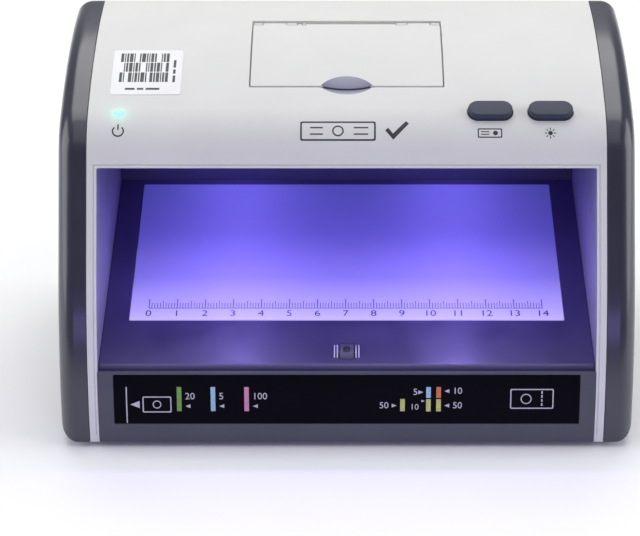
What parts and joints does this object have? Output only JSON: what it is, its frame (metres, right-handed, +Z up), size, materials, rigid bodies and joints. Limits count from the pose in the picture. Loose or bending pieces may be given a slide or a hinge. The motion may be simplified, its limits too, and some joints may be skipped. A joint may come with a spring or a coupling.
{
  "type": "counterfeit bill detector",
  "caption": "Desk-top bill checking hood with a backlit sloping plate, ultraviolet lamps, sensor head, press buttons and a hinged lid over a magnifier.",
  "frame": {"origin": "middle of the footprint on the desk, at the bottom of the rubber feet", "axes": "+X to the operator's right across the width, +Y to the back, +Z up"},
  "size_m": [0.199, 0.124, 0.121],
  "materials": {
    "silver_cover": "satin pearl silver moulding, fine grain",
    "cap_gloss": "glossy dark slate moulding",
    "slate_plastic": "fine-textured dark slate moulding",
    "button_plastic": "semi-gloss slate",
    "label_black": "glossy black film",
    "bay_plastic": "dark blue-violet moulding, fine texture",
    "bay_wall": "violet-grey moulding, fine texture",
    "light_plate": "milky acrylic, softly lit",
    "white_plastic": "white moulding",
    "black_plastic": "black moulding",
    "circuit_board": "green solder mask",
    "lamp_white": "white lamp",
    "lamp_violet": "violet lamp lens",
    "lamp_green": "glowing green-white lamp lens",
    "clear_lens": "clear polished lens",
    "steel": "bright steel",
    "rubber": "soft black rubber",
    "paper_label": "white printed label",
    "lead_red": "red insulation",
    "lead_yellow": "yellow insulation",
    "lead_green": "green insulation",
    "lead_grey": "grey insulation"
  },
  "bodies": {
    "housing": {"base_tray": "slate_plastic", "rubber_feet": "rubber", "base_screws": "steel", "front_panel": "slate_plastic", "front_label": "label_black", "top_cover": "silver_cover", "back_panel": "slate_plastic", "left_side_cap": "cap_gloss", "right_side_cap": "cap_gloss", "left_side_wall": "bay_wall", "right_side_wall": "bay_wall", "cap_screws": "steel", "rear_wall": "bay_plastic", "roof_panel": "bay_plastic", "platform": "bay_plastic", "light_plate": "light_plate", "reflector_tray": "white_plastic", "backlight_board": "circuit_board", "backlight_leds": "lamp_white", "sensor_head": "bay_plastic", "sensor_bracket": "slate_plastic", "uv_boards": "circuit_board", "uv_leds": "lamp_violet", "uv_screws": "steel", "lens_frame": "slate_plastic", "magnifier_lens": "clear_lens", "lid_hinge_pins": "steel", "button_board": "circuit_board", "switch_bodies": "black_plastic", "indicator_board": "circuit_board", "power_led": "lamp_green", "main_board": "circuit_board", "board_parts": "black_plastic", "board_connectors": "white_plastic", "board_screws": "steel", "dc_jack": "black_plastic", "uv_lead": "lead_red", "button_lead": "lead_yellow", "indicator_lead": "lead_green", "backlight_lead": "lead_grey", "sensor_lead": "lead_grey", "info_sticker": "paper_label", "rating_label": "paper_label"},
    "lid_flap": {"lid": "silver_cover"},
    "watermark_key": {"watermark_button": "button_plastic", "watermark_plunger": "white_plastic"},
    "uv_key": {"uv_button": "button_plastic", "uv_plunger": "white_plastic"}
  },
  "joints": [
    {"name": "lid_hinge", "type": "hinge", "parent": "housing", "child": "lid_flap", "pos_m": [0, 0.034, 0.11921], "axis": [-1, 0, 0], "range_deg": [0, 105]},
    {"name": "watermark_press", "type": "slide", "parent": "housing", "child": "watermark_key", "axis": [0, 0.4384, -0.8988], "range_m": [0, 0.0008], "stiffness_N_per_m": 900, "springref_m": -0.0006},
    {"name": "uv_press", "type": "slide", "parent": "housing", "child": "uv_key", "axis": [0, 0.4384, -0.8988], "range_m": [0, 0.0008], "stiffness_N_per_m": 900, "springref_m": -0.0006}
  ]
}
